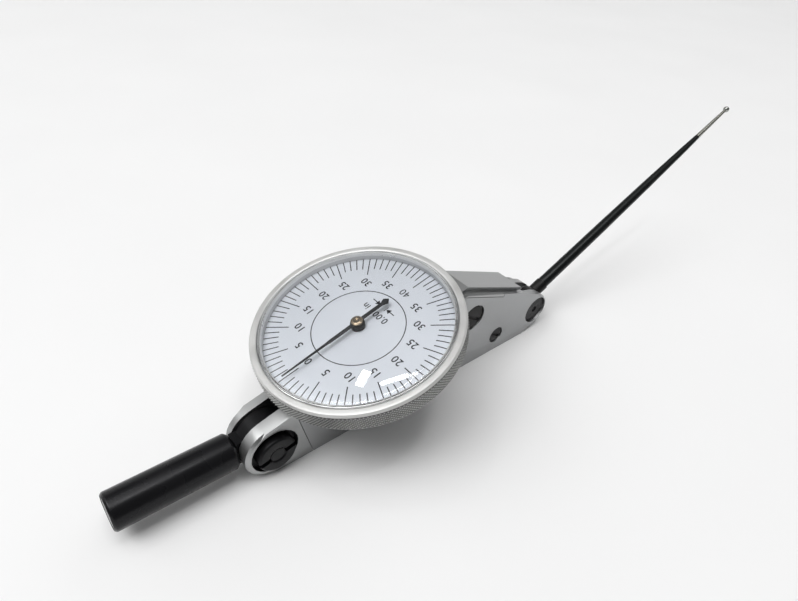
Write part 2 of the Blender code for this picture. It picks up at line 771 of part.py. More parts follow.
def lever_pinion_arbor():
    """Transverse arbor with the lever pinion; the crown wheel is pressed on it."""
    profile = [
        (0, -2.95),
        (0.3, -2.95),
        (0.3, -2.45),
        (0.55, -2.45),
        (0.55, 2.3),
        (0.3, 2.3),
        (0.3, 2.95),
        (0, 2.95),
    ]
    arbor = across(lathe("lever_pinion_arbor", profile, STEEL, 16), *WHEEL)
    toward_lever = math.atan2(AXIS_Z - WHEEL[1], PIVOT_X - WHEEL[0])
    outline = teeth(LEVER_PINION_LEAVES, LEVER_PINION_RADIUS, 0.2, 0.32, 0.32, 0.18, toward_lever)
    leaves = prism("lever_pinion_tool", outline, 0.05, 0.95)
    leaves.location = (WHEEL[0] * MM, 0, WHEEL[1] * MM)
    return join(arbor, leaves)


def crown_wheel():
    """Contrate wheel: a dished disc whose teeth stand up from the rim toward +Y."""
    profile = [
        (0.58, -2.3),
        (1.4, -2.3),
        (1.4, -2.05),
        (6.1, -2.05),
        (6.1, -1.0),
        (5.1, -1.0),
        (5.1, -1.7),
        (1.4, -1.7),
        (1.4, -1.45),
        (0.58, -1.45),
    ]
    wheel = across(lathe("crown_wheel", profile, BRASS, 32), *WHEEL)
    build = bmesh.new()
    pitch = 2 * math.pi / CROWN_TEETH
    upward = math.pi / 2 + DIAL_TILT
    for i in range(CROWN_TEETH):
        middle = upward + (i + 0.5) * pitch
        corners = []
        for radius in (5.14, 6.06):
            for y, shift in ((-1.1, -0.22), (-1.1, 0.22), (-0.45, 0.0)):
                angle = middle + shift / CROWN_RADIUS
                corners.append(build.verts.new((radius * math.cos(angle), y, radius * math.sin(angle))))
        for face in ((0, 1, 2), (3, 4, 5), (0, 1, 4, 3), (1, 2, 5, 4), (2, 0, 3, 5)):
            build.faces.new([corners[k] for k in face])
    tips = object_from("crown_teeth_tool", build)
    tips.location = (WHEEL[0] * MM, 0, WHEEL[1] * MM)
    return join(wheel, tips)


def centre_arbor():
    """Arbor on the dial axis: lower pivot, six leaf pinion, spring seat and pointer seat."""
    bottom = WHEEL_H + 3.3
    profile = [
        (0, bottom),
        (0.28, bottom),
        (0.28, bottom + 1.1),
        (0.4, bottom + 1.1),
        (0.4, POINTER_H + 0.24),
        (0, POINTER_H + 0.24),
    ]
    arbor = on_dial(lathe("centre_arbor", profile, STEEL, 16))
    outline = teeth(CENTRE_LEAVES, CENTRE_PINION_RADIUS, 0.18, 0.26, 0.26, 0.14, -math.pi / 2)
    leaves = plate("centre_pinion_tool", outline, WHEEL_H + 4.95, WHEEL_H + 6.25)
    return join(arbor, on_dial(leaves))


def hairspring_collet():
    profile = [(0.43, -3.15), (0.95, -3.15), (0.95, -2.6), (0.43, -2.6)]
    return on_dial(lathe("hairspring_collet", profile, BRASS, 16))


def hairspring():
    """Flat spiral from the collet to the stud."""
    build = bmesh.new()
    turns = 4.0
    steps = 44
    inner = 1.05
    outer = 4.2
    rings = []
    for i in range(steps + 1):
        angle = 2 * math.pi * turns * i / steps
        middle = inner + (outer - inner) * i / steps
        ring = []
        for offset, height in ((-0.05, -3.05), (0.05, -3.05), (0.05, -2.7), (-0.05, -2.7)):
            radius = middle + offset
            ring.append(build.verts.new((radius * math.cos(angle), radius * math.sin(angle), height)))
        rings.append(ring)
    for first, second in zip(rings, rings[1:]):
        for i in range(4):
            j = (i + 1) % 4
            build.faces.new((first[i], first[j], second[j], second[i]))
    build.faces.new(rings[0])
    build.faces.new(rings[-1])
    return on_dial(object_from("hairspring", build, BLUED))


def hairspring_stud():
    stud = lathe("hairspring_stud", rod(0.4, -3.35, -2.35), BRASS, 12)
    stud.data.transform(Matrix.Translation((4.72 * MM, 0.1 * MM, 0)))
    return on_dial(stud)


def upper_bridge():
    """Bridge across the drum pocket that holds the upper jewel."""
    outline = [(-2.2, -9.6), (2.2, -9.6), (2.2, 9.6), (-2.2, 9.6)]
    bridge = on_dial(plate("upper_bridge", outline, -2.25, -1.45, BRASS))
    for side in (-1, 1):
        pad = box_outline(2.2, 1.6, 0.0, side * BRIDGE_SCREW_Y)
        join(bridge, on_dial(plate(f"bridge_foot_tool_{side}", pad, -3.36, -1.9)))
        bore = lathe(f"bridge_bore_tool_{side}", rod(0.68, -5.0, 0.0), segments=12)
        bore.data.transform(Matrix.Translation((0, side * BRIDGE_SCREW_Y * MM, 0)))
        cut(bridge, on_dial(bore))
    return cut(bridge, on_dial(lathe("upper_jewel_seat_tool", rod(1.05, -3.0, 0.0), segments=20)))


def bridge_screw(name, side):
    profile = [(0, -3.9), (0.6, -3.9), (0.6, -1.41), (1.1, -1.41), (1.1, -1.0), (0.95, -0.9), (0, -0.9)]
    screw = lathe(name, profile, STEEL, 14)
    screw.data.transform(Matrix.Translation((0, side * BRIDGE_SCREW_Y * MM, 0)))
    on_dial(screw)
    slot = plate(name + "_slot_tool", box_outline(2.0, 0.18, 0.0, side * BRIDGE_SCREW_Y), -1.12, 0.0)
    return cut(screw, on_dial(slot))


def lower_bridge():
    """Bracket on the far wall that holds the lower jewel under the centre pinion."""
    low = WHEEL_H + 3.35
    high = WHEEL_H + 4.4
    arm = [(-1.3, -1.1), (1.3, -1.1), (1.3, 2.36), (-1.3, 2.36)]
    foot = [(-4.6, 1.7), (1.3, 1.7), (1.3, 2.36), (-4.6, 2.36)]
    bridge = on_dial(plate("lower_bridge", arm, low, high, BRASS))
    join(bridge, on_dial(plate("bridge_wall_tool", foot, low, WHEEL_H + 6.2)))
    cut(bridge, on_dial(lathe("lower_jewel_seat_tool", rod(0.85, low - 1, high + 1), segments=20)))
    return cut(bridge, side_hole("foot_bore_tool", *dial_point(*LOWER_BRIDGE_SCREW), 0.58, 0.0, 3.0))


def movement_jewels():
    on_dial(jewel("upper_jewel", -2.25, -1.5, 0.46))
    on_dial(jewel("lower_jewel", WHEEL_H + 3.4, WHEEL_H + 4.3, 0.34, 0.8))


def foot_screw():
    profile = [(0, 0.95), (0.95, 0.95), (0.95, 1.66), (0.52, 1.66), (0.52, 3.15), (0, 3.15)]
    return across(lathe("foot_screw", profile, STEEL, 14), *dial_point(*LOWER_BRIDGE_SCREW))


# ---------------------------------------------------------------- stylus


def stylus_frame(thing):
    """Puts a piece built about local Z onto the stylus axis, origin on the stylus pivot."""
    thing.rotation_mode = "QUATERNION"
    turn = Matrix.Rotation(math.pi / 2 - STYLUS_ANGLE, 4, "Y")
    thing.rotation_quaternion = turn.to_quaternion()
    thing.location = (PIVOT_X * MM, 0, AXIS_Z * MM)
    return thing


def stylus_hub():
    profile = [(1.06, -0.8), (3.75, -0.8), (3.75, 0.8), (1.06, 0.8)]
    hub = across(lathe("stylus_hub", profile, BLACK, 24), PIVOT_X, AXIS_Z)
    collar = stylus_frame(lathe("collar_tool", rod(1.5, 3.5, 6.6), segments=18))
    join(hub, collar)
    return cut(hub, stylus_frame(lathe("collar_bore_tool", rod(0.85, 3.2, 9.0), segments=14)))


def stylus_shaft():
    """Long taper with a thread under the collar."""
    profile = [
        (0, 3.25),
        (0.8, 3.25),
        (0.8, 6.65),
        (1.25, 6.65),
        (1.33, 8.0),
        (1.22, 28.0),
        (1.02, 46.0),
        (0.72, 62.0),
        (0.6, STYLUS_SHOULDER),
        (0, STYLUS_SHOULDER),
    ]
    return stylus_frame(lathe("stylus_shaft", profile, BLACK, 20))


def stylus_tip():
    start = STYLUS_SHOULDER + 0.05
    end = STYLUS_LENGTH - BALL_RADIUS - 0.07
    profile = [(0, start), (0.58, start), (0.56, start + 1.0), (0.42, start + 10.0), (0.38, end), (0, end)]
    return stylus_frame(lathe("stylus_tip", profile, STEEL, 16))


def stylus_ball():
    steps = 8
    profile = [(0, STYLUS_LENGTH - BALL_RADIUS)]
    for i in range(1, steps):
        angle = math.pi * i / steps
        profile.append((BALL_RADIUS * math.sin(angle), STYLUS_LENGTH - BALL_RADIUS * math.cos(angle)))
    profile.append((0, STYLUS_LENGTH + BALL_RADIUS))
    return stylus_frame(lathe("stylus_ball", profile, BRIGHT, 16))


def build_all():
    clear_scene()
    body_frame()
    side_cover()
    cover_screws()
    pivot_screw("pivot_screw_near", -1)
    pivot_screw("pivot_screw_far", 1)
    pins_and_jewels()
    stem_rod()
    stem_tongue()
    clamp_bolt()
    clamp_nut()
    bezel_ring()
    crystal_ring()
    crystal()
    dial_plate()
    dial_retainer()
    bezel_snap_ring()
    pointer()
    pointer_boss()
    boss_cap()
    pivot_axle()
    lever_arm()
    friction_disc()
    sector_gear()
    lever_rivets()
    lever_pinion_arbor()
    crown_wheel()
    centre_arbor()
    hairspring_collet()
    hairspring()
    hairspring_stud()
    upper_bridge()
    bridge_screw("bridge_screw_near", -1)
    bridge_screw("bridge_screw_far", 1)
    lower_bridge()
    movement_jewels()
    foot_screw()
    stylus_hub()
    stylus_shaft()
    stylus_tip()
    stylus_ball()


build_all()
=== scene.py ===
"""Looks of a lever dial test indicator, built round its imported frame.

Shapes are worked out in millimetres in a local frame of each mechanism axis, then placed in metres.
Heights on the dial head are measured along the dial axis from the dial face.
"""

import json
import math

import bmesh
import bpy
from mathutils import Matrix, Vector


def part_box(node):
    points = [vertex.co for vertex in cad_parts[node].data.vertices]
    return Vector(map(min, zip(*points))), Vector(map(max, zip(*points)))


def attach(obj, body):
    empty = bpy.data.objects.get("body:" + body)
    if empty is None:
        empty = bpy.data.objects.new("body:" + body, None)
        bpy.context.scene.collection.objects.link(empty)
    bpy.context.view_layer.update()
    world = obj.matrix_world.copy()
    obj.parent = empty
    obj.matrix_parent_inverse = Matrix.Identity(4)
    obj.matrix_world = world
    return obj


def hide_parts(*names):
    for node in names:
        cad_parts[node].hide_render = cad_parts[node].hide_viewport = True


MM = 0.001
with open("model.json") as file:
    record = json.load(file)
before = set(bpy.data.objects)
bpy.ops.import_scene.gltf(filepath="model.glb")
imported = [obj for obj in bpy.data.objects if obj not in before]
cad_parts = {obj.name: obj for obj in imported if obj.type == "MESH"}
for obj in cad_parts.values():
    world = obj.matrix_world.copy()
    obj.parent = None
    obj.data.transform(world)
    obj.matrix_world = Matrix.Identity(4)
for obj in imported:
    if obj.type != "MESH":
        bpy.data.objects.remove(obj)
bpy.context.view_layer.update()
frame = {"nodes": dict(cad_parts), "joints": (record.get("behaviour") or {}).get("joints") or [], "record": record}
ACROSS = Vector((0, 1, 0))


# ---------------------------------------------------------------- sizes in millimetres

# Bezel: a plain foot, the knurl and a plain rim above it, then the seat of the crystal inside.
# Its skirt is SKIRT_UPPER thick above the height SKIRT_STEP and SKIRT_LOWER thick below it.
KNURL_PITCH = 0.64
KNURL_DEPTH = 0.21
KNURL_ROWS = 5
KNURL_FOOT = 0.25
RIM_HEIGHT = 0.7
SEAT_GAP = 0.1
SEAT_DEPTH = 0.85
DIAL_GAP = 0.06
SKIRT_UPPER = 2.0
SKIRT_LOWER = 1.75
SKIRT_STEP = -0.55

# Crystal and the bright ring inside its skirt.
CRYSTAL_RISE = 1.7
CRYSTAL_WALL = 0.35
CRYSTAL_THICKNESS = 0.42
RING_WALL = 0.28

# Dial and its print.
DIAL_BORE = 1.25
INK_THICKNESS = 0.012
INK_GAP = 0.003
TICK_WIDTH = 0.19
INNER_CIRCLE_WIDTH = 0.17
NUMBER_HEIGHT = 1.42
GRADUATION_RADIUS = 12.475

# Places on the dial, as shares of GRADUATION_RADIUS.
LONG_TICK_FROM = 1.0
SHORT_TICK_FROM = 1.12
TICK_TO = 1.335
NUMBER_RADIUS = 0.845
INNER_CIRCLE_RADIUS = 0.666
VALUE_HEIGHT = 0.105
VALUE_X = 0.31
MARKS_X = 0.467
MARKS_Y = 0.02

# What is printed, and the font's stroke and spacing as shares of its size.
STROKE_GAIN = 0.011
LETTER_SPACING = 1.08
DIVISIONS = 80
NUMBER_STEP = 5
GRADUATION_TEXT = "0.001 in"

# Pointer: distances from the dial axis and half widths along the needle, and the boss under it.
EYE_RADIUS = 0.95
TAIL_BLOCK = 1.6
TAIL_HALF = 0.34
NEEDLE_BODY_TO = 5.9
NEEDLE_BODY_HALF = 0.31
NEEDLE_NECK_TO = 6.4
NEEDLE_NECK_HALF = 0.24
NEEDLE_TIP_HALF = 0.11
BOSS_BORE = 0.45
CAP_DIMPLE = 0.2

# Stem, clamp bolt and clamp nut, and the recesses of the fork that take nut and bolt head.
SOCKET_RADIUS = 1.55
SOCKET_DEPTH = 3.6
BOLT_SHANK = 1.35
BOLT_HEAD_FROM = 2.65
NUT_GAP = 0.08
NUT_SLOT_HALF = 0.5
NUT_SLOT_DEPTH = 0.7
NUT_SLOT_SPIN = -13.0
RECESS_RADIUS = 4.45
RECESS_FROM = 2.3
RECESS_TO = 3.7

# Stylus: the spigot that enters the hub, where the shaft starts, and its taper from there as
# pairs of a distance from the pivot and a share of the full radius.
SPIGOT_RADIUS = 0.8
SHOULDER_FROM = 6.65
STYLUS_TAPER = ((9.0, 1.0), (28.0, 0.92), (46.0, 0.77), (61.0, 0.56))


# ---------------------------------------------------------------- what the frame says


def joint(name):
    """The frame's entry for a joint."""
    return next(entry for entry in frame["joints"] if entry["name"] == name)


def mount(name):
    """The record's entry for a mount."""
    return next(entry for entry in frame["record"]["mounts"] if entry["name"] == name)


def frame_at(origin, axis):
    """Local frame with Z along axis and X in the plane of the narrow body."""
    z_axis = Vector(axis).normalized()
    x_axis = ACROSS.cross(z_axis).normalized() if abs(z_axis.dot(ACROSS)) < 0.99 else Vector((1, 0, 0))
    y_axis = z_axis.cross(x_axis)
    turn = Matrix((x_axis, y_axis, z_axis)).transposed().to_4x4()
    return Matrix.Translation(Vector(origin)) @ turn


def middle_of(node):
    """Centre of the node's box in metres."""
    low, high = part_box(node)
    return (low + high) / 2


def local_points(node, place):
    """The node's corners in millimetres, in the local frame of place."""
    back = place.inverted()
    return [(back @ corner.co) / MM for corner in frame["nodes"][node].data.vertices]


def span(node, place):
    """Lowest and highest point of the node along local Z, in millimetres."""
    heights = [point.z for point in local_points(node, place)]
    return min(heights), max(heights)


def reach(node, place):
    """Largest distance of the node from local Z, in millimetres."""
    return max(math.hypot(point.x, point.y) for point in local_points(node, place))


PIVOT = Vector(joint("stylus_swivel")["pos_m"])
FORK = Vector(joint("stem_swivel")["pos_m"])
DIAL_FRAME = frame_at(joint("bezel_turn")["pos_m"], joint("bezel_turn")["axis"])
STEM_ROOT = Vector((FORK.x, mount("stem_end_face")["pos_m"][1], FORK.z))
STEM_FRAME = frame_at(STEM_ROOT, mount("stem_end_face")["axis"])
STYLUS_FRAME = frame_at(PIVOT, middle_of("stylus_ball") - PIVOT)
FORK_FRAME = frame_at(FORK, ACROSS)
PIVOT_FRAME = frame_at(PIVOT, ACROSS)


# ---------------------------------------------------------------- node graphs

BLACK_SHEEN = 0.28


class Graph:
    """Small helper for building one material's nodes."""

    def __init__(self, name):
        self.material = bpy.data.materials.new(name)
        self.material.use_nodes = True
        self.nodes = self.material.node_tree.nodes
        self.links = self.material.node_tree.links
        self.shader = self.nodes["Principled BSDF"]
        self.output = self.nodes["Material Output"]

    def add(self, kind, **settings):
        node = self.nodes.new(kind)
        for key, value in settings.items():
            setattr(node, key, value)
        return node

    def link(self, source, target):
        self.links.new(source, target)

    def set(self, **values):
        for key, value in values.items():
            self.shader.inputs[key.replace("_", " ")].default_value = value

    def object_position(self):
        return self.add("ShaderNodeTexCoord").outputs["Object"]

    def noise(self, scale, detail):
        """Noise in the object's own metres, so scale is features per metre."""
        node = self.add("ShaderNodeTexNoise")
        node.inputs["Scale"].default_value = scale
        node.inputs["Detail"].default_value = detail
        self.link(self.object_position(), node.inputs["Vector"])
        return node.outputs["Fac"]

    def ranged(self, value, low, high, from_low=0.3, from_high=0.7):
        """Maps from_low to low and from_high to high and cuts off beyond. The defaults suit noise."""
        node = self.add("ShaderNodeMapRange")
        node.inputs["From Min"].default_value = from_low
        node.inputs["From Max"].default_value = from_high
        node.inputs["To Min"].default_value = low
        node.inputs["To Max"].default_value = high
        self.link(value, node.inputs["Value"])
        return node.outputs["Result"]

    def math(self, operation, first, second=0.0):
        node = self.add("ShaderNodeMath", operation=operation)
        for socket, value in zip(node.inputs, (first, second)):
            if isinstance(value, (int, float)):
                socket.default_value = value
            else:
                self.link(value, socket)
        return node.outputs[0]

    def two_tone(self, value, dark, light):
        node = self.add("ShaderNodeMix", data_type="RGBA")
        node.inputs["A"].default_value = (*dark, 1)
        node.inputs["B"].default_value = (*light, 1)
        self.link(value, node.inputs["Factor"])
        self.link(node.outputs["Result"], self.shader.inputs["Base Color"])

    def mottle(self, scale, detail, dark, light):
        """Base colour that drifts between two tones."""
        self.two_tone(self.ranged(self.noise(scale, detail), 0.0, 1.0), dark, light)

    def bump(self, height, distance_mm):
        node = self.add("ShaderNodeBump")
        node.inputs["Distance"].default_value = distance_mm * MM
        self.link(height, node.inputs["Height"])
        self.link(node.outputs["Normal"], self.shader.inputs["Normal"])

    def from_axis(self, place, along=False):
        """Distance from the place's Z axis, or the height along it, in metres."""
        origin = place.translation
        axis = place.to_3x3() @ Vector((0, 0, 1))
        offset = self.add("ShaderNodeVectorMath", operation="SUBTRACT")
        offset.inputs[1].default_value = origin
        self.link(self.object_position(), offset.inputs[0])
        measure = self.add("ShaderNodeVectorMath", operation="DOT_PRODUCT" if along else "CROSS_PRODUCT")
        measure.inputs[1].default_value = axis
        self.link(offset.outputs["Vector"], measure.inputs[0])
        if along:
            return measure.outputs["Value"]
        length = self.add("ShaderNodeVectorMath", operation="LENGTH")
        self.link(measure.outputs["Vector"], length.inputs[0])
        return length.outputs["Value"]

    def rings(self, distance, pitch_mm):
        """Tool marks: a sine of the distance with the given pitch."""
        turns = self.math("MULTIPLY", distance, 2 * math.pi / (pitch_mm * MM))
        return self.math("SINE", turns)


def satin_metal(name, colour, roughness, grain=5200.0, depth_mm=0.006):
    """Blasted or plated metal: fine grain, uneven sheen and a slight change of tone."""
    graph = Graph(name)
    graph.set(Metallic=1.0)
    cloud = graph.noise(160.0, 4.0)
    light = [min(1.0, part * 1.06) for part in colour]
    dark = [part * 0.93 for part in colour]
    graph.two_tone(graph.ranged(cloud, 0.0, 1.0), dark, light)
    graph.link(graph.ranged(cloud, roughness - 0.05, roughness + 0.05), graph.shader.inputs["Roughness"])
    graph.bump(graph.noise(grain, 2.0), depth_mm)
    return graph.material


def knurled_metal(name, colour, roughness):
    """Metal with painted shade in its grooves: the base colour darkens towards the groove bottoms, which lie
    nearer the dial axis than the points.
    """
    graph = Graph(name)
    graph.set(Metallic=1.0, Roughness=roughness)
    crest = reach("bezel_ring", DIAL_FRAME) * MM
    valley = crest - KNURL_DEPTH * MM
    height = graph.from_axis(DIAL_FRAME)
    # Painted shade: the colour falls to 0.12 of itself from the points down to the groove bottoms, its edge
    # jittered by noise.
    groove_shade_depth = graph.math("ADD", height, graph.ranged(graph.noise(900.0, 3.0), -0.01 * MM, 0.01 * MM))
    graph.two_tone(graph.ranged(groove_shade_depth, 0.0, 1.0, valley, crest), [part * 0.12 for part in colour], colour)
    graph.bump(graph.noise(9000.0, 2.0), 0.002)
    return graph.material


def turned_metal(name, colour, roughness, place, pitch_mm, depth_mm, along=False, metallic=1.0):
    """Lathe turned metal: rings about the axis of place, over a faint cloud."""
    graph = Graph(name)
    graph.set(Metallic=metallic, Specular_IOR_Level=BLACK_SHEEN)
    cloud = graph.noise(220.0, 4.0)
    graph.two_tone(graph.ranged(cloud, 0.0, 1.0), [part * 0.92 for part in colour], colour)
    graph.link(graph.ranged(cloud, roughness * 0.85, roughness * 1.15), graph.shader.inputs["Roughness"])
    marks = graph.rings(graph.from_axis(place, along), pitch_mm)
    grain = graph.ranged(graph.noise(3800.0, 2.0), -0.5, 0.5)
    graph.bump(graph.math("ADD", marks, grain), depth_mm)
    return graph.material


def black_oxide():
    """Blackened steel: dark and oily with a fine tooth and faint brown clouds."""
    graph = Graph("black_oxide")
    graph.set(Metallic=0.55, Specular_IOR_Level=BLACK_SHEEN)
    cloud = graph.noise(260.0, 5.0)
    graph.two_tone(graph.ranged(cloud, 0.0, 1.0), (0.0104, 0.0104, 0.0104), (0.0169, 0.01586, 0.0156))
    graph.link(graph.ranged(cloud, 0.36, 0.50), graph.shader.inputs["Roughness"])
    graph.bump(graph.noise(6000.0, 3.0), 0.004)
    return graph.material


def dial_lacquer():
    """Faintly blue white enamel under a thin coat."""
    graph = Graph("dial_lacquer")
    graph.set(Roughness=0.42, Coat_Weight=0.15)
    graph.mottle(90.0, 3.0, (0.66, 0.685, 0.735), (0.69, 0.715, 0.765))
    graph.bump(graph.noise(2500.0, 2.0), 0.002)
    return graph.material


def printed_ink():
    """Matt black print."""
    graph = Graph("printed_ink")
    graph.set(Roughness=0.55, Specular_IOR_Level=0.2)
    graph.mottle(4000.0, 2.0, (0.006, 0.006, 0.008), (0.014, 0.014, 0.017))
    return graph.material


def needle_paint():
    """Black paint with a fine tooth."""
    graph = Graph("needle_paint")
    graph.set(Roughness=0.45, Specular_IOR_Level=0.25)
    graph.mottle(1500.0, 2.0, (0.008, 0.008, 0.009), (0.016, 0.016, 0.018))
    graph.bump(graph.noise(5000.0, 2.0), 0.002)
    return graph.material


def clear_acrylic():
    """Clear dome that lets light through to the dial without a heavy shadow."""
    graph = Graph("clear_acrylic")
    graph.set(IOR=1.49, Transmission_Weight=1.0)
    graph.link(graph.ranged(graph.noise(90.0, 2.0), 0.008, 0.014), graph.shader.inputs["Roughness"])
    graph.shader.inputs["Base Color"].default_value = (0.985, 0.99, 0.99, 1)
    clear = graph.add("ShaderNodeBsdfTransparent")
    clear.inputs["Color"].default_value = (0.95, 0.955, 0.96, 1)
    path = graph.add("ShaderNodeLightPath")
    share = graph.math("MAXIMUM", path.outputs["Is Shadow Ray"], path.outputs["Is Diffuse Ray"])
    mix = graph.add("ShaderNodeMixShader")
    graph.link(share, mix.inputs["Fac"])
    graph.link(graph.shader.outputs["BSDF"], mix.inputs[1])
    graph.link(clear.outputs["BSDF"], mix.inputs[2])
    graph.link(mix.outputs["Shader"], graph.output.inputs["Surface"])
    return graph.material


def ruby():
    """Clear red bearing jewel."""
    graph = Graph("ruby_jewel")
    graph.set(Roughness=0.08, Transmission_Weight=0.5, IOR=1.76)
    graph.mottle(800.0, 2.0, (0.45, 0.01, 0.05), (0.7, 0.04, 0.12))
    return graph.material


# Every look by its short name: colour and roughness, then tool mark pitch and depth where turned.
LOOKS = {
    "satin": satin_metal("satin_chrome", (0.41, 0.415, 0.415), 0.40),
    # Painted shade: the side cover gets a darker copy of the satin chrome for the shadow it lies in.
    "cover": satin_metal("satin_cover", (0.375, 0.38, 0.385), 0.42),
    "knurl": knurled_metal("knurled_band", (0.62, 0.625, 0.61), 0.30),
    "rim": turned_metal("turned_rim", (0.69, 0.69, 0.68), 0.50, DIAL_FRAME, 0.09, 0.003),
    "bright": turned_metal("bright_ring", (0.72, 0.72, 0.71), 0.30, DIAL_FRAME, 0.06, 0.0005),
    "cone": turned_metal("bezel_cone", (0.52, 0.525, 0.53), 0.45, DIAL_FRAME, 0.11, 0.001),
    "black": black_oxide(),
    "black_stem": turned_metal(
        "black_stem", (0.013, 0.013, 0.0145), 0.27, STEM_FRAME, 0.16, 0.002, along=True, metallic=0.4
    ),
    "black_stylus": turned_metal(
        "black_stylus", (0.016, 0.018, 0.018), 0.26, STYLUS_FRAME, 0.2, 0.002, along=True, metallic=0.6
    ),
    "black_nut": turned_metal(
        "black_nut", (0.010, 0.010, 0.011), 0.36, FORK_FRAME, 0.14, 0.003, metallic=0.5
    ),
    "black_pivot": turned_metal(
        "black_pivot", (0.012, 0.012, 0.013), 0.36, PIVOT_FRAME, 0.14, 0.003, metallic=0.5
    ),
    "steel": satin_metal("ground_steel", (0.50, 0.51, 0.52), 0.28, grain=7000.0, depth_mm=0.002),
    "tip": turned_metal("stylus_steel", (0.42, 0.42, 0.38), 0.25, STYLUS_FRAME, 0.12, 0.002, along=True),
    "carbide": satin_metal("tip_ball", (0.34, 0.35, 0.33), 0.18, grain=9000.0, depth_mm=0.001),
    "brass": satin_metal("brass", (0.62, 0.46, 0.20), 0.26, grain=6000.0, depth_mm=0.002),
    "cap": turned_metal("cap_bronze", (0.27, 0.215, 0.155), 0.26, DIAL_FRAME, 0.08, 0.002),
    "blued": satin_metal("blued_spring", (0.05, 0.07, 0.20), 0.25),
    "white": dial_lacquer(),
    "ink": printed_ink(),
    "needle": needle_paint(),
    "clear": clear_acrylic(),
    "ruby": ruby(),
}


# ---------------------------------------------------------------- mesh helpers


def rounded(profile, size, steps=3):
    """Rounds every corner of a closed profile that isn't on the axis."""
    count = len(profile)
    points = []
    for i, corner in enumerate(profile):
        if corner[0] < 1e-6:
            points.append(corner)
            continue
        here = Vector(corner)
        before = Vector(profile[i - 1]) - here
        after = Vector(profile[(i + 1) % count]) - here
        start = here + before.normalized() * min(size, before.length * 0.45)
        end = here + after.normalized() * min(size, after.length * 0.45)
        for k in range(steps + 1):
            t = k / steps
            spot = start * (1 - t) ** 2 + here * (2 * t * (1 - t)) + end * t**2
            points.append((spot.x, spot.y))
    return points


def piece_of(name, mesh, looks, sharp):
    """Object with the given looks, smooth except at edges above the sharp angle in degrees."""
    for look in looks:
        mesh.materials.append(LOOKS[look])
    mesh.shade_smooth()
    mesh.set_sharp_from_angle(angle=math.radians(sharp))
    piece = bpy.data.objects.new(name, mesh)
    bpy.context.scene.collection.objects.link(piece)
    return piece


def piece_from(name, build, place, looks, sharp=30.0):
    """Finishes a bmesh in millimetres as an object placed in metres."""
    bmesh.ops.remove_doubles(build, verts=build.verts, dist=1e-5)
    bmesh.ops.recalc_face_normals(build, faces=build.faces)
    mesh = bpy.data.meshes.new(name)
    build.to_mesh(mesh)
    build.free()
    mesh.transform(place @ Matrix.Scale(MM, 4))
    return piece_of(name, mesh, looks, sharp)


def ring_of(build, radius, height, segments):
    """Ring of corners about local Z, or a single corner on the axis."""
    if radius < 1e-6:
        return [build.verts.new((0, 0, height))]
    turns = [2 * math.pi * i / segments for i in range(segments)]
    return [build.verts.new((radius * math.cos(a), radius * math.sin(a), height)) for a in turns]


def bridge(build, lower, upper, look_index=0):
    """Joins two rings with a band of faces."""
    count = max(len(lower), len(upper))
    for i in range(count):
        j = (i + 1) % count
        corners = [lower[i % len(lower)], lower[j % len(lower)], upper[j % len(upper)], upper[i % len(upper)]]
        unique = list(dict.fromkeys(corners))
        if len(unique) > 2:
            build.faces.new(unique).material_index = look_index


def lathe(name, profile, place, looks, segments, sharp=30.0):
    """Turns a closed profile of (radius, height) points about local Z."""
    build = bmesh.new()
    rings = [ring_of(build, radius, height, segments) for radius, height in profile]
    pairs = list(zip(range(len(profile)), range(1, len(profile))))
    if profile[0][0] > 1e-6 or profile[-1][0] > 1e-6:
        pairs.append((len(profile) - 1, 0))
    for a, b in pairs:
        bridge(build, rings[a], rings[b])
    return piece_from(name, build, place, looks, sharp)


def slab(build, outline, low, high):
    """Adds a flat plate with the given (x, y) outline to a bmesh."""
    bottom = [build.verts.new((x, y, low)) for x, y in outline]
    top = [build.verts.new((x, y, high)) for x, y in outline]
    build.faces.new(bottom)
    build.faces.new(top)
    bridge(build, bottom, top)


def bake(piece):
    """Keeps what the piece's modifiers make of it as its own mesh."""
    graph = bpy.context.evaluated_depsgraph_get()
    mesh = bpy.data.meshes.new_from_object(piece.evaluated_get(graph))
    piece.modifiers.clear()
    piece.data = mesh


def soften(piece, width_mm, segments=2, angle=30.0):
    """Small even radius on every real edge."""
    edge = piece.modifiers.new("edge_radius", "BEVEL")
    edge.width = width_mm * MM
    edge.segments = segments
    edge.limit_method = "ANGLE"
    edge.angle_limit = math.radians(angle)
    edge.harden_normals = True
    return piece


def cut_slot(piece, place, half_length, half_width, low, high, spin_degrees):
    """Saws a straight slot across a turned head."""
    x = half_length
    y = half_width
    build = bmesh.new()
    slab(build, [(-x, -y), (x, -y), (x, y), (-x, y)], low, high)
    turn = Matrix.Rotation(math.radians(spin_degrees), 4, "Z")
    cutter = piece_from(piece.name + "_saw", build, place @ turn, [])
    step = piece.modifiers.new("slot", "BOOLEAN")
    step.operation = "DIFFERENCE"
    step.solver = "EXACT"
    step.object = cutter
    bake(piece)
    bpy.data.objects.remove(cutter)


def hand_over(piece, body, slot, *nodes):
    """The piece rides on its body and stands for the CAD nodes named."""
    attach(piece, body)
    if nodes:
        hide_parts(*nodes)


# ---------------------------------------------------------------- dial head


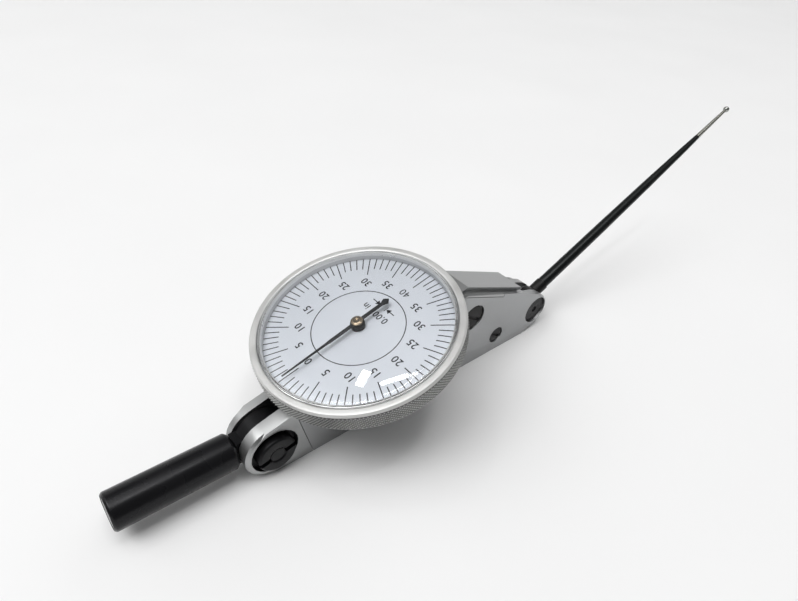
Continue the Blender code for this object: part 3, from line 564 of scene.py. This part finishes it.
def knurl_rows(build, radius, low, high, columns):
    """Diamond knurl: points and groove crossings alternate over a square lattice."""
    rows = []
    for row in range(2 * KNURL_ROWS + 1):
        height = low + (high - low) * row / (2 * KNURL_ROWS)
        ring = []
        for i in range(columns):
            angle = 2 * math.pi * i / columns
            border = row in (0, 2 * KNURL_ROWS)
            valley = border or (i + row) % 2
            r = radius - (KNURL_DEPTH if valley else 0.0)
            ring.append(build.verts.new((r * math.cos(angle), r * math.sin(angle), height)))
        rows.append(ring)
    for row, (lower, upper) in enumerate(zip(rows, rows[1:])):
        for i in range(columns):
            j = (i + 1) % columns
            if (i + row) % 2:
                triangles = ((lower[i], lower[j], upper[j]), (lower[i], upper[j], upper[i]))
            else:
                triangles = ((lower[i], lower[j], upper[i]), (lower[j], upper[j], upper[i]))
            for corners in triangles:
                build.faces.new(corners).material_index = 1
    return rows[0], rows[-1]


def bezel():
    """Knurled bezel: turned top ring, fine groove round the crystal and a cone down to the dial."""
    radius = reach("bezel_ring", DIAL_FRAME)
    low, high = span("bezel_ring", DIAL_FRAME)
    window = reach("crystal_ring", DIAL_FRAME) - RING_WALL
    seat = reach("crystal", DIAL_FRAME) + SEAT_GAP
    columns = 2 * round(2 * math.pi * radius / KNURL_PITCH)
    outer_edge = [(radius - 0.13, high - 0.62), (radius - 0.22, high - 0.5), (radius - 0.22, high - 0.38)]
    outer_edge += [(radius - 0.2, high - 0.3), (radius - 0.3, high - 0.1), (radius - 0.52, high)]
    inner = [
        (seat + 0.34, high),
        (seat + 0.12, high - 0.06),
        (seat, high - 0.22),
        (seat, high - SEAT_DEPTH),
        (window + 0.15, high - SEAT_DEPTH),
        (window, DIAL_GAP),
        (radius - SKIRT_UPPER, DIAL_GAP),
        (radius - SKIRT_UPPER, SKIRT_STEP),
        (radius - SKIRT_LOWER, SKIRT_STEP),
        (radius - SKIRT_LOWER, low),
        (radius - 0.3, low),
    ]
    build = bmesh.new()
    bottom, top = knurl_rows(build, radius, low + KNURL_FOOT, high - RIM_HEIGHT, columns)
    last = top
    for r, height in rounded(outer_edge + inner, 0.04, 2):
        ring = ring_of(build, r, height, columns)
        inside = r < seat + 0.05 and height < high - 0.1
        bridge(build, last, ring, 3 if inside else 2)
        last = ring
    bridge(build, last, bottom, 0)
    piece = piece_from("bezel_knurled", build, DIAL_FRAME, ["satin", "knurl", "rim", "cone"], 22.0)
    hand_over(piece, "bezel", "satin_chrome", "bezel_ring")


def crystal_ring():
    """Thin bright ring inside the skirt of the crystal."""
    outer = reach("crystal_ring", DIAL_FRAME)
    low, high = span("crystal_ring", DIAL_FRAME)
    profile = rounded([(outer - RING_WALL, low), (outer, low), (outer, high), (outer - 0.13, high)], 0.03)
    piece = lathe("crystal_bright_ring", profile, DIAL_FRAME, ["bright"], 192)
    hand_over(piece, "bezel", "bright_chrome", "crystal_ring")


def dome(radius, rim_height, rise, steps):
    """Profile points from the rim to the crown of a shallow dome."""
    sphere = (radius**2 + rise**2) / (2 * rise)
    points = []
    for i in range(steps + 1):
        r = radius * (1 - i / steps)
        points.append((r, rim_height + math.sqrt(sphere**2 - r**2) - (sphere - rise)))
    return points


def crystal():
    """Clear domed crystal with a rounded shoulder, open underneath."""
    radius = reach("crystal", DIAL_FRAME)
    low, high = span("crystal", DIAL_FRAME)
    rim = high - CRYSTAL_RISE
    bore = radius - CRYSTAL_WALL
    shoulder = [(radius, low), (radius, rim - 0.4), (radius - 0.04, rim - 0.22), (radius - 0.14, rim - 0.09)]
    outer = shoulder + dome(bore, rim, CRYSTAL_RISE, 18)
    inner = list(reversed(dome(bore, rim - CRYSTAL_THICKNESS, CRYSTAL_RISE, 18))) + [(bore, low)]
    piece = lathe("crystal_dome", outer + inner, DIAL_FRAME, ["clear"], 192, sharp=50.0)
    hand_over(piece, "bezel", "clear_crystal", "crystal")


def text_piece(words, height, x, y):
    """Flat text with its capital height and centre given, reading along +Y with its top toward -X.

    A 4 keeps the font's own strokes, because widening them would close its small window.
    """
    curve = bpy.data.curves.new("print_text", "FONT")
    curve.body = words
    curve.size = 1.0
    curve.resolution_u = 4
    curve.offset = 0.0 if "4" in words else STROKE_GAIN
    curve.space_character = LETTER_SPACING
    holder = bpy.data.objects.new("print_text", curve)
    bpy.context.scene.collection.objects.link(holder)
    bpy.context.view_layer.update()
    graph = bpy.context.evaluated_depsgraph_get()
    mesh = bpy.data.meshes.new_from_object(holder.evaluated_get(graph))
    bpy.data.objects.remove(holder)
    xs = [corner.co.x for corner in mesh.vertices]
    ys = [corner.co.y for corner in mesh.vertices]
    scale = height / (max(ys) - min(ys))
    centre = Matrix.Translation((-(min(xs) + max(xs)) / 2, -(min(ys) + max(ys)) / 2, 0))
    size = Matrix.Diagonal((scale, scale, 1, 1))
    turn = Matrix.Rotation(math.radians(90), 4, "Z")
    mesh.transform(Matrix.Translation((x, y, 0)) @ turn @ size @ centre)
    return mesh


def raise_faces(build, start):
    """Gives the flat faces added after index start the thickness of the ink."""
    build.faces.ensure_lookup_table()
    faces = build.faces[start:]
    made = bmesh.ops.extrude_face_region(build, geom=list(faces))
    lifted = [item for item in made["geom"] if isinstance(item, bmesh.types.BMVert)]
    bmesh.ops.translate(build, verts=lifted, vec=(0, 0, INK_THICKNESS))


def add_text(build, words, height, x, y):
    mesh = text_piece(words, height, x, y)
    start = len(build.faces)
    build.from_mesh(mesh)
    raise_faces(build, start)
    bpy.data.meshes.remove(mesh)


def add_tick(build, angle, start, end, width):
    """Bar along a radius at the given angle."""
    cosine = math.cos(angle)
    sine = math.sin(angle)
    corners = []
    for along, side in ((start, -1), (end, -1), (end, 1), (start, 1)):
        across = side * width / 2
        corners.append((along * cosine - across * sine, along * sine + across * cosine))
    slab(build, corners, 0.0, INK_THICKNESS)


def add_circle(build, radius, width, segments=160):
    edges = ((-1, 0.0), (1, 0.0), (1, INK_THICKNESS), (-1, INK_THICKNESS))
    rings = [ring_of(build, radius + side * width / 2, height, segments) for side, height in edges]
    for first, second in zip(rings, rings[1:] + rings[:1]):
        bridge(build, first, second)


def add_direction_marks(build):
    """Two arrows that face each other, each before a short bar, beside the graduation value."""
    shaft = [(-0.007, 0.14), (-0.007, 0.232), (0.007, 0.232), (0.007, 0.14)]
    head = [(-0.042, 0.141), (0.042, 0.141), (0.0, 0.068)]
    bar = [(-0.044, 0.052), (-0.044, 0.064), (0.044, 0.064), (0.044, 0.052)]
    unit = GRADUATION_RADIUS
    for side in (-1, 1):
        for outline in (shaft, head, bar):
            spots = [((MARKS_X + x) * unit, (MARKS_Y + side * y) * unit) for x, y in outline]
            slab(build, spots, 0, INK_THICKNESS)


def dial_print():
    """Ticks, balanced numbers, inner circle and the graduation value."""
    build = bmesh.new()
    unit = GRADUATION_RADIUS
    for i in range(DIVISIONS):
        angle = math.pi + 2 * math.pi * i / DIVISIONS
        start = LONG_TICK_FROM if i % NUMBER_STEP == 0 else SHORT_TICK_FROM
        add_tick(build, angle, start * unit, TICK_TO * unit, TICK_WIDTH)
    for i in range(0, DIVISIONS, NUMBER_STEP):
        angle = math.pi + 2 * math.pi * i / DIVISIONS
        x = NUMBER_RADIUS * unit * math.cos(angle)
        y = NUMBER_RADIUS * unit * math.sin(angle)
        add_text(build, str(min(i, DIVISIONS - i)), NUMBER_HEIGHT, x, y)
    add_circle(build, INNER_CIRCLE_RADIUS * unit, INNER_CIRCLE_WIDTH)
    add_text(build, GRADUATION_TEXT, VALUE_HEIGHT * unit, VALUE_X * unit, MARKS_Y * unit)
    add_direction_marks(build)
    _, top = span("dial_plate", DIAL_FRAME)
    place = DIAL_FRAME @ Matrix.Translation((0, 0, (top + INK_GAP) * MM))
    piece = piece_from("dial_print", build, place, ["ink"])
    hand_over(piece, "bezel", "pointer_black")


def dial_face():
    """White dial plate with a clearance hole for the pointer boss."""
    radius = reach("dial_plate", DIAL_FRAME)
    low, high = span("dial_plate", DIAL_FRAME)
    profile = rounded([(DIAL_BORE, low), (radius, low), (radius, high), (DIAL_BORE, high)], 0.08)
    piece = lathe("dial_face", profile, DIAL_FRAME, ["white"], 128)
    hand_over(piece, "bezel", "dial_white", "dial_plate")


def pointer_place():
    """Dial frame turned so that local -X runs along the needle."""
    tip = max(local_points("pointer", DIAL_FRAME), key=lambda point: math.hypot(point.x, point.y))
    return DIAL_FRAME @ Matrix.Rotation(math.atan2(-tip.y, -tip.x), 4, "Z")


def needle():
    """Tapered needle with an eye, a tail bar and a square counterweight."""
    place = pointer_place()
    low, high = span("pointer", DIAL_FRAME)
    length = reach("pointer", DIAL_FRAME)
    tail_x = max(point.x for point in local_points("pointer", place))
    tail_half = max(point.y for point in local_points("pointer", place) if point.x > tail_x / 2)
    eye_angles = [math.radians(angle) for angle in range(22, 159, 8)]
    upper = [(tail_x, 0.0), (tail_x - tail_half, tail_half), (tail_x - TAIL_BLOCK, TAIL_HALF)]
    upper += [(EYE_RADIUS * math.cos(angle), EYE_RADIUS * math.sin(angle)) for angle in eye_angles]
    upper += [(-NEEDLE_BODY_TO, NEEDLE_BODY_HALF), (-NEEDLE_NECK_TO, NEEDLE_NECK_HALF)]
    upper += [(-length, NEEDLE_TIP_HALF)]
    lower = [(x, -y) for x, y in reversed(upper) if y > 0]
    build = bmesh.new()
    slab(build, upper + lower, low, high)
    piece = soften(piece_from("pointer_needle", build, place, ["needle"]), 0.05)
    hand_over(piece, "pointer_arbor", "pointer_black", "pointer")


def hub_of_pointer():
    """Black boss under the needle and a bronze cap with a dimple on it."""
    boss_radius = reach("pointer_boss", DIAL_FRAME)
    low, high = span("pointer_boss", DIAL_FRAME)
    boss = rounded([(BOSS_BORE, low), (boss_radius, low), (boss_radius, high), (BOSS_BORE, high)], 0.1)
    hub = lathe("pointer_hub", boss, DIAL_FRAME, ["black"], 48)
    hand_over(hub, "pointer_arbor", "black_oxide", "pointer_boss")
    radius = reach("boss_cap", DIAL_FRAME)
    low, high = span("boss_cap", DIAL_FRAME)
    dimple = [(0, high - CAP_DIMPLE), (0.18, high - 0.16), (0.34, high - 0.02)]
    crown = [(0.36, high), (radius * 0.62, high), (radius, high - 0.22), (radius, low), (0, low)]
    cap = lathe("pointer_cap", dimple + rounded(crown, 0.09), DIAL_FRAME, ["cap"], 64)
    hand_over(cap, "pointer_arbor", "brass", "boss_cap")


# ---------------------------------------------------------------- fork and stem


def stem():
    """Round rod, chamfered at both ends, with a socket for the spigot of the tongue."""
    radius = reach("stem_rod", STEM_FRAME)
    low, high = span("stem_rod", STEM_FRAME)
    socket = [(0, low + SOCKET_DEPTH), (SOCKET_RADIUS, low + SOCKET_DEPTH)]
    root = [(SOCKET_RADIUS, low), (radius - 0.45, low), (radius, low + 0.5)]
    end = [(radius, high - 0.42), (radius - 0.38, high)]
    profile = socket + rounded(root + end, 0.16, 4) + [(0, high)]
    piece = lathe("stem_blackened", profile, STEM_FRAME, ["black_stem"], 96)
    hand_over(piece, "stem", "black_oxide", "stem_rod")


def clamp():
    """Bolt with a far head, and the slotted nut round its near end."""
    bolt_low, bolt_high = span("clamp_bolt", FORK_FRAME)
    head = reach("clamp_bolt", FORK_FRAME)
    shank = [(BOLT_SHANK, bolt_low), (BOLT_SHANK, BOLT_HEAD_FROM)]
    disc = [(head, BOLT_HEAD_FROM), (head, bolt_high - 0.3), (head - 0.3, bolt_high)]
    profile = [(0, bolt_low)] + rounded(shank + disc, 0.12) + [(0, bolt_high)]
    bolt = lathe("clamp_bolt_turned", profile, FORK_FRAME, ["black_nut"], 72)
    hand_over(bolt, "body", "black_oxide", "clamp_bolt")
    low, high = span("clamp_nut", FORK_FRAME)
    radius = reach("clamp_nut", FORK_FRAME)
    bore = BOLT_SHANK + NUT_GAP
    inner = [(bore + 0.22, low), (bore, low + 0.22), (bore, high)]
    outer = [(radius, high), (radius, low + 0.25), (radius - 0.25, low)]
    nut = lathe("clamp_nut_slotted", rounded(inner + outer, 0.1), FORK_FRAME, ["black_nut"], 96)
    cut_slot(nut, FORK_FRAME, radius + 1, NUT_SLOT_HALF, low - 1, low + NUT_SLOT_DEPTH, NUT_SLOT_SPIN)
    soften(nut, 0.05)
    hand_over(nut, "clamp_nut", "black_oxide", "clamp_nut")


# ---------------------------------------------------------------- stylus


def stylus_shaft():
    """Black tapered shaft with a thin spigot in the hub."""
    root, end = span("stylus_shaft", STYLUS_FRAME)
    thick = reach("stylus_shaft", STYLUS_FRAME)
    profile = [
        (0, root),
        (SPIGOT_RADIUS, root),
        (SPIGOT_RADIUS, SHOULDER_FROM),
        (thick - 0.1, SHOULDER_FROM),
        (thick, SHOULDER_FROM + 0.3),
    ]
    profile += [(thick * share, along) for along, share in STYLUS_TAPER]
    profile += [(thick * 0.45, end - 0.1), (thick * 0.43, end), (0, end)]
    shaft = lathe("stylus_blackened", profile, STYLUS_FRAME, ["black_stylus"], 48, sharp=40.0)
    hand_over(shaft, "stylus", "black_oxide", "stylus_shaft")


def stylus_tip():
    """Bare steel end that thins towards the ball."""
    low, high = span("stylus_tip", STYLUS_FRAME)
    wide = reach("stylus_tip", STYLUS_FRAME)
    thin = [(wide * 0.97, low + 1), (wide * 0.7, high - 1.5), (wide * 0.64, high)]
    profile = [(0, low), (wide, low)] + thin + [(0, high)]
    tip = lathe("stylus_ground_end", profile, STYLUS_FRAME, ["tip"], 40)
    hand_over(tip, "stylus", "ground_steel", "stylus_tip")


def stylus_ball():
    """Polished contact ball."""
    low, high = span("stylus_ball", STYLUS_FRAME)
    middle = (low + high) / 2
    radius = (high - low) / 2
    steps = 16
    profile = []
    for i in range(steps + 1):
        angle = math.pi * i / steps
        out = radius * math.sin(angle) if 0 < i < steps else 0
        profile.append((out, middle - radius * math.cos(angle)))
    ball = lathe("stylus_contact_ball", profile, STYLUS_FRAME, ["carbide"], 40)
    hand_over(ball, "stylus", "bright_chrome", "stylus_ball")


# ---------------------------------------------------------------- machined parts

# For each look, the edge radius in millimetres and the nodes that have it.
MACHINED = {
    "satin": (0.16, ["body_frame"]),
    "cover": (0.12, ["side_cover"]),
    "black": (0.05, ["cover_screw_upper", "cover_screw_lower", "friction_disc", "stylus_hub"]),
    "black_nut": (0.08, ["stem_tongue"]),
    "black_pivot": (0.06, ["pivot_screw_near", "pivot_screw_far"]),
    "steel": (
        0.04,
        [
            "stop_pin_low",
            "stop_pin_high",
            "dowel_rear",
            "lever_arm",
            "lever_rivet_front",
            "lever_rivet_rear",
            "lever_pinion_arbor",
            "centre_arbor",
            "bridge_screw_near",
            "bridge_screw_far",
            "foot_screw",
            "pivot_axle",
            "dial_retainer",
            "bezel_snap_ring",
        ],
    ),
    "brass": (
        0.04,
        [
            "sector_gear",
            "crown_wheel",
            "hairspring_collet",
            "hairspring_stud",
            "upper_bridge",
            "lower_bridge",
        ],
    ),
    "ruby": (0.03, ["jewel_far", "jewel_near", "upper_jewel", "lower_jewel"]),
    "blued": (0.01, ["hairspring"]),
}


def body_of(node):
    """Name of the moving body that the record puts the node in."""
    bodies = frame["record"]["behaviour"]["bodies"]
    return next(body for body, nodes in bodies.items() if node in nodes)


def slot_of(node):
    """Material slot that the record gives the node."""
    return next(part["material_slot"] for part in frame["record"]["subparts"] if part["node"] == node)


def blacken_clamp_recess(build):
    """Gives the floor and walls of the recesses round the fork axis the second look, the near black of the nut."""
    back = FORK_FRAME.inverted()
    for face in build.faces:
        spot = (back @ face.calc_center_median()) / MM
        if math.hypot(spot.x, spot.y) < RECESS_RADIUS and RECESS_FROM < abs(spot.z) < RECESS_TO:
            face.material_index = 1


def machined(node, look, radius_mm):
    """The CAD shape as one joined skin, with every real edge broken by a small radius."""
    build = bmesh.new()
    build.from_mesh(frame["nodes"][node].data)
    bmesh.ops.remove_doubles(build, verts=build.verts, dist=1e-7)
    bmesh.ops.dissolve_limit(build, angle_limit=math.radians(0.5), verts=build.verts, edges=build.edges)
    looks = [look]
    if node == "body_frame":
        blacken_clamp_recess(build)
        looks.append("black_nut")
    mesh = bpy.data.meshes.new(node + "_finished")
    build.to_mesh(mesh)
    build.free()
    piece = piece_of(mesh.name, mesh, looks, 50.0)
    soften(piece, radius_mm, 3, 28.0)
    hand_over(piece, body_of(node), slot_of(node), node)


def machined_parts():
    for look, (radius_mm, nodes) in MACHINED.items():
        for node in nodes:
            machined(node, look, radius_mm)


# ---------------------------------------------------------------- stage, light, camera

# Camera: its angles in degrees, its lens in millimetres and its place seen from the dial centre.
VIEW_AZIMUTH = -42.67
VIEW_ELEVATION = 37.39
VIEW_ROLL = 5.25
LENS_MM = 26.66
CAMERA_FROM_DIAL = Vector((-47.96, -61.69, 66.02)) * MM

# Floor: half its width in metres, and how far under the foot it lies in millimetres.
FLOOR_HALF = 4.0
FLOOR_DROP = 0.05

# One factor scales all the light. What the camera sees past the floor has its own even tone.
EXPOSURE = 0.905
BACKDROP = (0.88, 0.88, 0.88, 1)


def floor():
    """Wide pale sheet just under the foot."""
    build = bmesh.new()
    bmesh.ops.create_grid(build, x_segments=8, y_segments=8, size=FLOOR_HALF)
    mesh = bpy.data.meshes.new("studio_floor")
    build.to_mesh(mesh)
    build.free()
    graph = Graph("pale_floor")
    graph.set(Roughness=0.75)
    graph.mottle(14.0, 2.0, (0.86, 0.86, 0.86), (0.88, 0.88, 0.88))
    mesh.materials.append(graph.material)
    sheet = bpy.data.objects.new("studio_floor", mesh)
    sheet.location.z = -FLOOR_DROP * MM
    bpy.context.scene.collection.objects.link(sheet)


def area_light(name, toward, along, distance, size_x, size_y, radiance):
    """Rectangular light seen from the dial in direction toward, its long side along, brightness given."""
    data = bpy.data.lights.new(name, "AREA")
    data.shape = "RECTANGLE"
    data.size = size_x
    data.size_y = size_y
    data.energy = radiance * size_x * size_y * math.pi * EXPOSURE
    lamp = bpy.data.objects.new(name, data)
    direction = Vector(toward).normalized()
    lamp.location = DIAL_FRAME.translation + direction * distance
    long_side = (Vector(along) - direction * direction.dot(Vector(along))).normalized()
    turn = Matrix((long_side, direction.cross(long_side), direction)).transposed()
    lamp.rotation_mode = "QUATERNION"
    lamp.rotation_quaternion = turn.to_quaternion()
    bpy.context.scene.collection.objects.link(lamp)


def studio_world():
    """Bright soft ceiling, pale far side and a dimmer near side, behind an even pale backdrop."""
    world = bpy.data.worlds.new("soft_studio")
    bpy.context.scene.world = world
    world.use_nodes = True
    nodes = world.node_tree.nodes
    links = world.node_tree.links
    background = nodes["Background"]
    position = nodes.new("ShaderNodeTexCoord").outputs["Generated"]

    def facing(direction, low, high, low_value, high_value):
        """Value that changes with how nearly a ray points in the direction."""
        dot = nodes.new("ShaderNodeVectorMath")
        dot.operation = "DOT_PRODUCT"
        dot.inputs[1].default_value = Vector(direction).normalized()
        links.new(position, dot.inputs[0])
        step = nodes.new("ShaderNodeMapRange")
        step.interpolation_type = "SMOOTHSTEP"
        limits = {"From Min": low, "From Max": high, "To Min": low_value, "To Max": high_value}
        for key, value in limits.items():
            step.inputs[key].default_value = value
        links.new(dot.outputs["Value"], step.inputs["Value"])
        return step.outputs["Result"]

    ceiling = facing((-0.25, 0.2, 1.0), 0.74, 0.93, 0.0, 3.3)
    sides = facing((0.53, 0.85, 0.0), -0.6, 0.8, 0.08, 0.85)
    unlit_patch = facing((0.1, 0.52, 0.85), 0.82, 0.935, 1.0, 0.1)
    total = nodes.new("ShaderNodeMath")
    links.new(ceiling, total.inputs[0])
    links.new(sides, total.inputs[1])
    dimmed = nodes.new("ShaderNodeMath")
    dimmed.operation = "MULTIPLY"
    links.new(total.outputs[0], dimmed.inputs[0])
    links.new(unlit_patch, dimmed.inputs[1])
    scaled = nodes.new("ShaderNodeMath")
    scaled.operation = "MULTIPLY"
    scaled.inputs[1].default_value = EXPOSURE
    links.new(dimmed.outputs[0], scaled.inputs[0])
    links.new(scaled.outputs[0], background.inputs["Strength"])
    background.inputs["Color"].default_value = (1.0, 1.0, 1.0, 1)
    backdrop = nodes.new("ShaderNodeBackground")
    backdrop.inputs["Color"].default_value = BACKDROP
    seen = nodes.new("ShaderNodeLightPath").outputs["Is Camera Ray"]
    blend = nodes.new("ShaderNodeMixShader")
    links.new(seen, blend.inputs["Fac"])
    links.new(background.outputs["Background"], blend.inputs[1])
    links.new(backdrop.outputs["Background"], blend.inputs[2])
    links.new(blend.outputs["Shader"], nodes["World Output"].inputs["Surface"])


def lights():
    """Key from the stem side, three small lamps that glint in the crystal, one for the near edges."""
    area_light("key_panel", (-0.7, 0.05, 1.0), (1, 0, 0), 0.9, 0.4, 0.4, 3.4)
    area_light("far_lamp", (-0.151, 0.313, 0.938), (0.94, 0.34, 0.0), 1.0, 0.094, 0.046, 28.0)
    area_light("tube_left", (-0.045, 0.2, 0.979), (0.914, -0.405, 0.0), 1.0, 0.15, 0.022, 17.0)
    area_light("tube_right", (0.075, 0.147, 0.986), (0.914, -0.405, 0.0), 1.0, 0.10, 0.016, 9.0)
    area_light("near_lamp", (0.06, -0.25, 0.965), (1, 0, 0), 1.0, 0.16, 0.05, 30.0)


def camera():
    """Camera above the near left of the stem, looking down along the body."""
    data = bpy.data.cameras.new("studio_view")
    data.lens = LENS_MM
    data.clip_start = 0.005
    data.clip_end = 20.0
    view = bpy.data.objects.new("studio_view", data)
    azimuth = math.radians(VIEW_AZIMUTH)
    elevation = math.radians(VIEW_ELEVATION)
    level = math.cos(elevation)
    back = Vector((math.sin(azimuth) * level, -math.cos(azimuth) * level, math.sin(elevation)))
    view.rotation_mode = "QUATERNION"
    turn = Matrix.Rotation(math.radians(VIEW_ROLL), 3, "Z").to_quaternion()
    view.rotation_quaternion = (-back).to_track_quat("-Z", "Y") @ turn
    view.location = DIAL_FRAME.translation + CAMERA_FROM_DIAL
    bpy.context.scene.collection.objects.link(view)
    bpy.context.scene.camera = view


bezel()
crystal_ring()
crystal()
dial_face()
dial_print()
needle()
hub_of_pointer()
stem()
clamp()
stylus_shaft()
stylus_tip()
stylus_ball()
machined_parts()
floor()
studio_world()
lights()
camera()
bpy.context.scene.view_settings.view_transform = "Standard"
